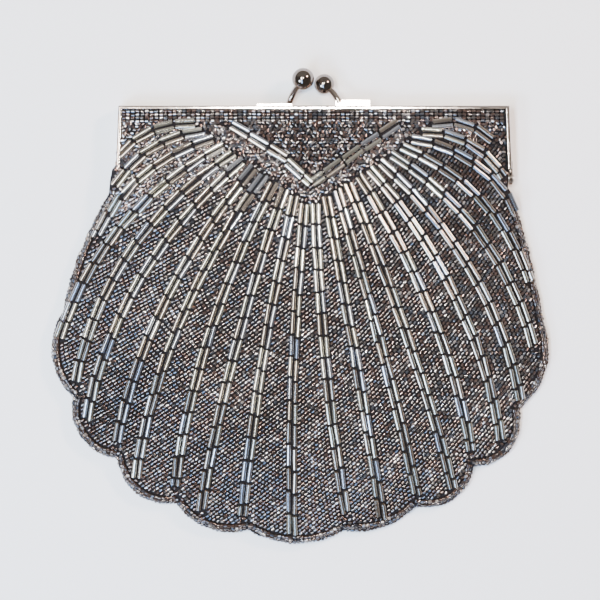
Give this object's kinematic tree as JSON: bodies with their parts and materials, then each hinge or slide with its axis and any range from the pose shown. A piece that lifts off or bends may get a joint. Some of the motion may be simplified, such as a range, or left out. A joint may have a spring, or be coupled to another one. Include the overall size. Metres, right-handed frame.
{
  "type": "beaded kiss-lock evening bag",
  "caption": "Shell-shaped evening bag of glass beads on cloth, held in a thin hinged metal frame that closes with a two-ball clasp.",
  "frame": {"origin": "on the flat back face that the bag lies on, near the middle of the bag", "axes": "+X across the bag to the right seen from the beaded front, +Y towards the clasp, +Z out of the beaded front"},
  "size_m": [0.1792, 0.1713, 0.0159],
  "materials": {
    "nickel": "thin nickel plate, bright, slightly warm and worn",
    "clasp_ball": "polished nickel-plated ball with fine scratches",
    "rivet": "peened nickel-plated rivet",
    "packing_cord": "twisted paper cord",
    "seed_bead": "gunmetal seed beads with brown and blue reflections",
    "bugle_bead": "silver-lined smoky grey glass tubes",
    "ground_cloth": "black-grey silk ground cloth",
    "interlining": "stiff cotton buckram",
    "lining": "grey satin lining"
  },
  "bodies": {
    "bag": {"back_frame_channel": "nickel", "left_hinge_rivet": "rivet", "right_hinge_rivet": "rivet", "back_clasp_base": "nickel", "back_clasp_ball": "clasp_ball", "back_channel_cord": "packing_cord", "seed_beads_lower": "seed_bead", "seed_beads_fold": "seed_bead", "back_seed_beads": "seed_bead", "bugle_rays_lower": "bugle_bead", "bugle_rays_fold": "bugle_bead", "front_cloth_lower": "ground_cloth", "front_cloth_fold": "ground_cloth", "back_cloth": "ground_cloth", "front_interlining_lower": "interlining", "back_interlining": "interlining", "front_lining_lower": "lining", "front_lining_fold": "lining", "back_lining": "lining", "edge_seam": "ground_cloth"},
    "front_frame": {"front_frame_channel": "nickel", "front_clasp_base": "nickel", "front_clasp_ball": "clasp_ball", "front_channel_cord": "packing_cord", "seed_beads_upper": "seed_bead", "top_seed_rows": "seed_bead", "bugle_rays_upper": "bugle_bead", "chevron_bugles": "bugle_bead", "front_cloth_upper": "ground_cloth", "front_interlining_upper": "interlining", "front_lining_upper": "lining"}
  },
  "joints": [
    {"name": "frame_hinge", "type": "hinge", "parent": "bag", "child": "front_frame", "pos_m": [0, 0.046, 0.0046], "axis": [1, 0, 0], "range_deg": [0, 85], "deforming": ["front_cloth_fold", "front_lining_fold", "seed_beads_fold", "bugle_rays_fold"]}
  ]
}
